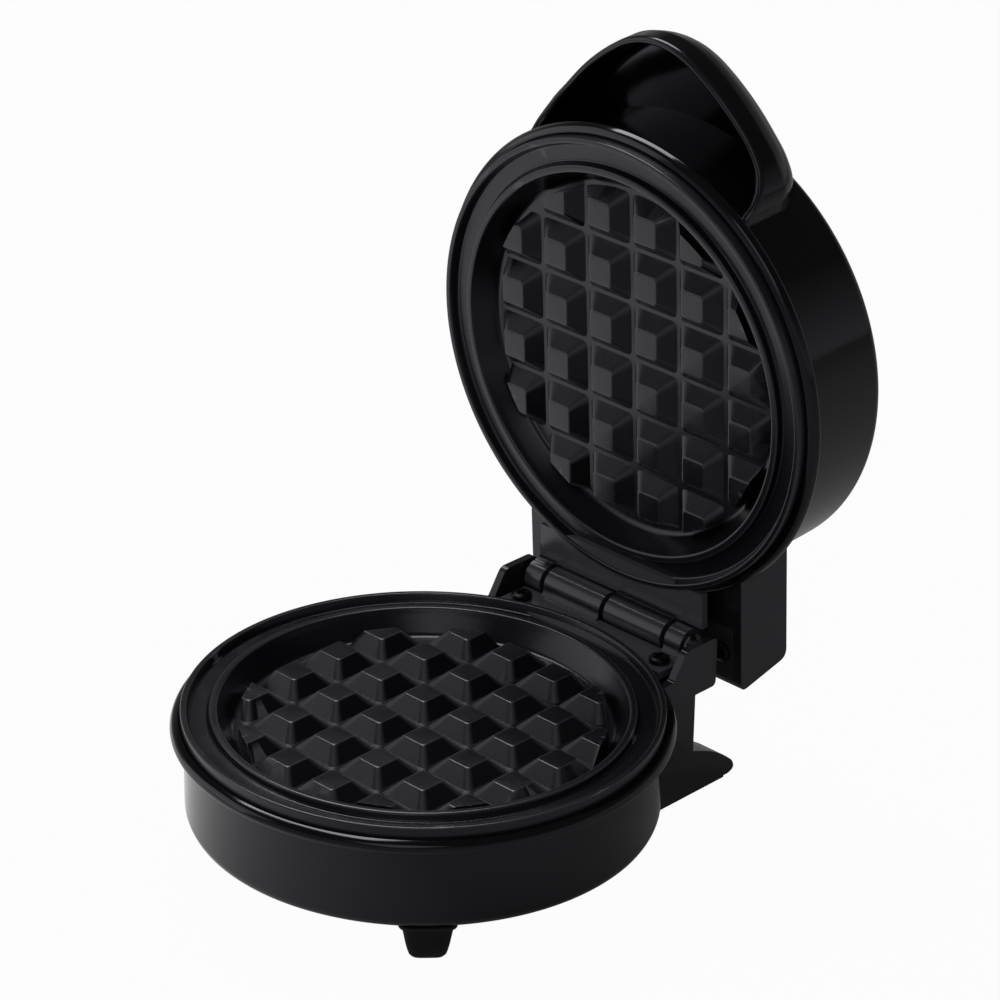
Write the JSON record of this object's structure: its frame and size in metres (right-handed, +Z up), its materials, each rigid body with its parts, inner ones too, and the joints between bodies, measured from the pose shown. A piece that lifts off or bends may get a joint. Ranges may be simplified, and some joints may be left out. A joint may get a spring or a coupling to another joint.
{
  "type": "mini waffle maker",
  "caption": "Small round countertop waffle maker with a hinged lid standing open, coated grid plates, a scooped hood handle, front feet and rear heels.",
  "frame": {"origin": "on the table under the middle of the whole plan outline, with the lid open", "axes": "+Z up, +X to the right of the appliance seen from the handle side, +Y to the rear where the hinge is"},
  "size_m": [0.1306, 0.1722, 0.2015],
  "materials": {
    "housing": "gloss black",
    "plate_coating": "cast aluminium under a satin black non-stick coating",
    "moulding": "fine matt black",
    "rubber": "matt",
    "steel": "bright zinc plated",
    "sheet": "bare rolled sheet",
    "heater": "dull heat-tinted sheath",
    "ceramic": "off-white ceramic",
    "red_lens": "clear red",
    "green_lens": "clear green",
    "sleeve": "glass-fibre sleeve"
  },
  "bodies": {
    "base": {"base_housing": "housing", "bottom_cover": "moulding", "cover_screw_1": "steel", "cover_screw_2": "steel", "cover_screw_3": "steel", "front_foot_left": "rubber", "front_foot_right": "rubber", "heel_pad_left": "rubber", "heel_pad_right": "rubber", "cord_gland": "rubber", "cord_clamp": "moulding", "clamp_screw_1": "steel", "clamp_screw_2": "steel", "lower_plate": "plate_coating", "lower_plate_screw_1": "steel", "lower_plate_screw_2": "steel", "lower_plate_screw_3": "steel", "deck_screw_1": "steel", "deck_screw_2": "steel", "hinge_pin": "steel", "pin_clip": "steel", "lower_heating_element": "heater", "lower_heat_shield": "sheet", "lower_shield_screw_1": "steel", "lower_shield_screw_2": "steel", "thermostat": "ceramic", "thermostat_strap": "sheet", "thermostat_screw_1": "steel", "thermostat_screw_2": "steel", "terminal_block": "ceramic", "thermal_fuse": "sleeve", "lead_block_to_fuse": "sleeve", "lead_fuse_to_thermostat": "sleeve", "lead_block_to_element": "sleeve", "lead_element_to_block": "sleeve", "hinge_lead_base": "sleeve"},
    "lid": {"upper_plate": "plate_coating", "upper_plate_screw_1": "steel", "upper_plate_screw_2": "steel", "upper_plate_screw_3": "steel", "upper_heating_element": "heater", "upper_heat_shield": "sheet", "upper_shield_screw_1": "steel", "upper_shield_screw_2": "steel", "lid_housing": "housing", "lid_top_cover": "housing", "power_lamp_lens": "red_lens", "ready_lamp_lens": "green_lens", "lamp_holder": "moulding", "neon_lamp_1": "ceramic", "neon_lamp_2": "ceramic", "hinge_cover": "moulding", "hinge_cover_screw_1": "steel", "hinge_cover_screw_2": "steel", "hinge_lead_lid": "sleeve", "lead_element_to_lamps": "sleeve"}
  },
  "joints": [
    {"name": "lid_hinge", "type": "hinge", "parent": "base", "child": "lid", "pos_m": [0, 0.05124, 0.04183], "axis": [1, 0, 0], "range_deg": [0, 86.5]}
  ]
}
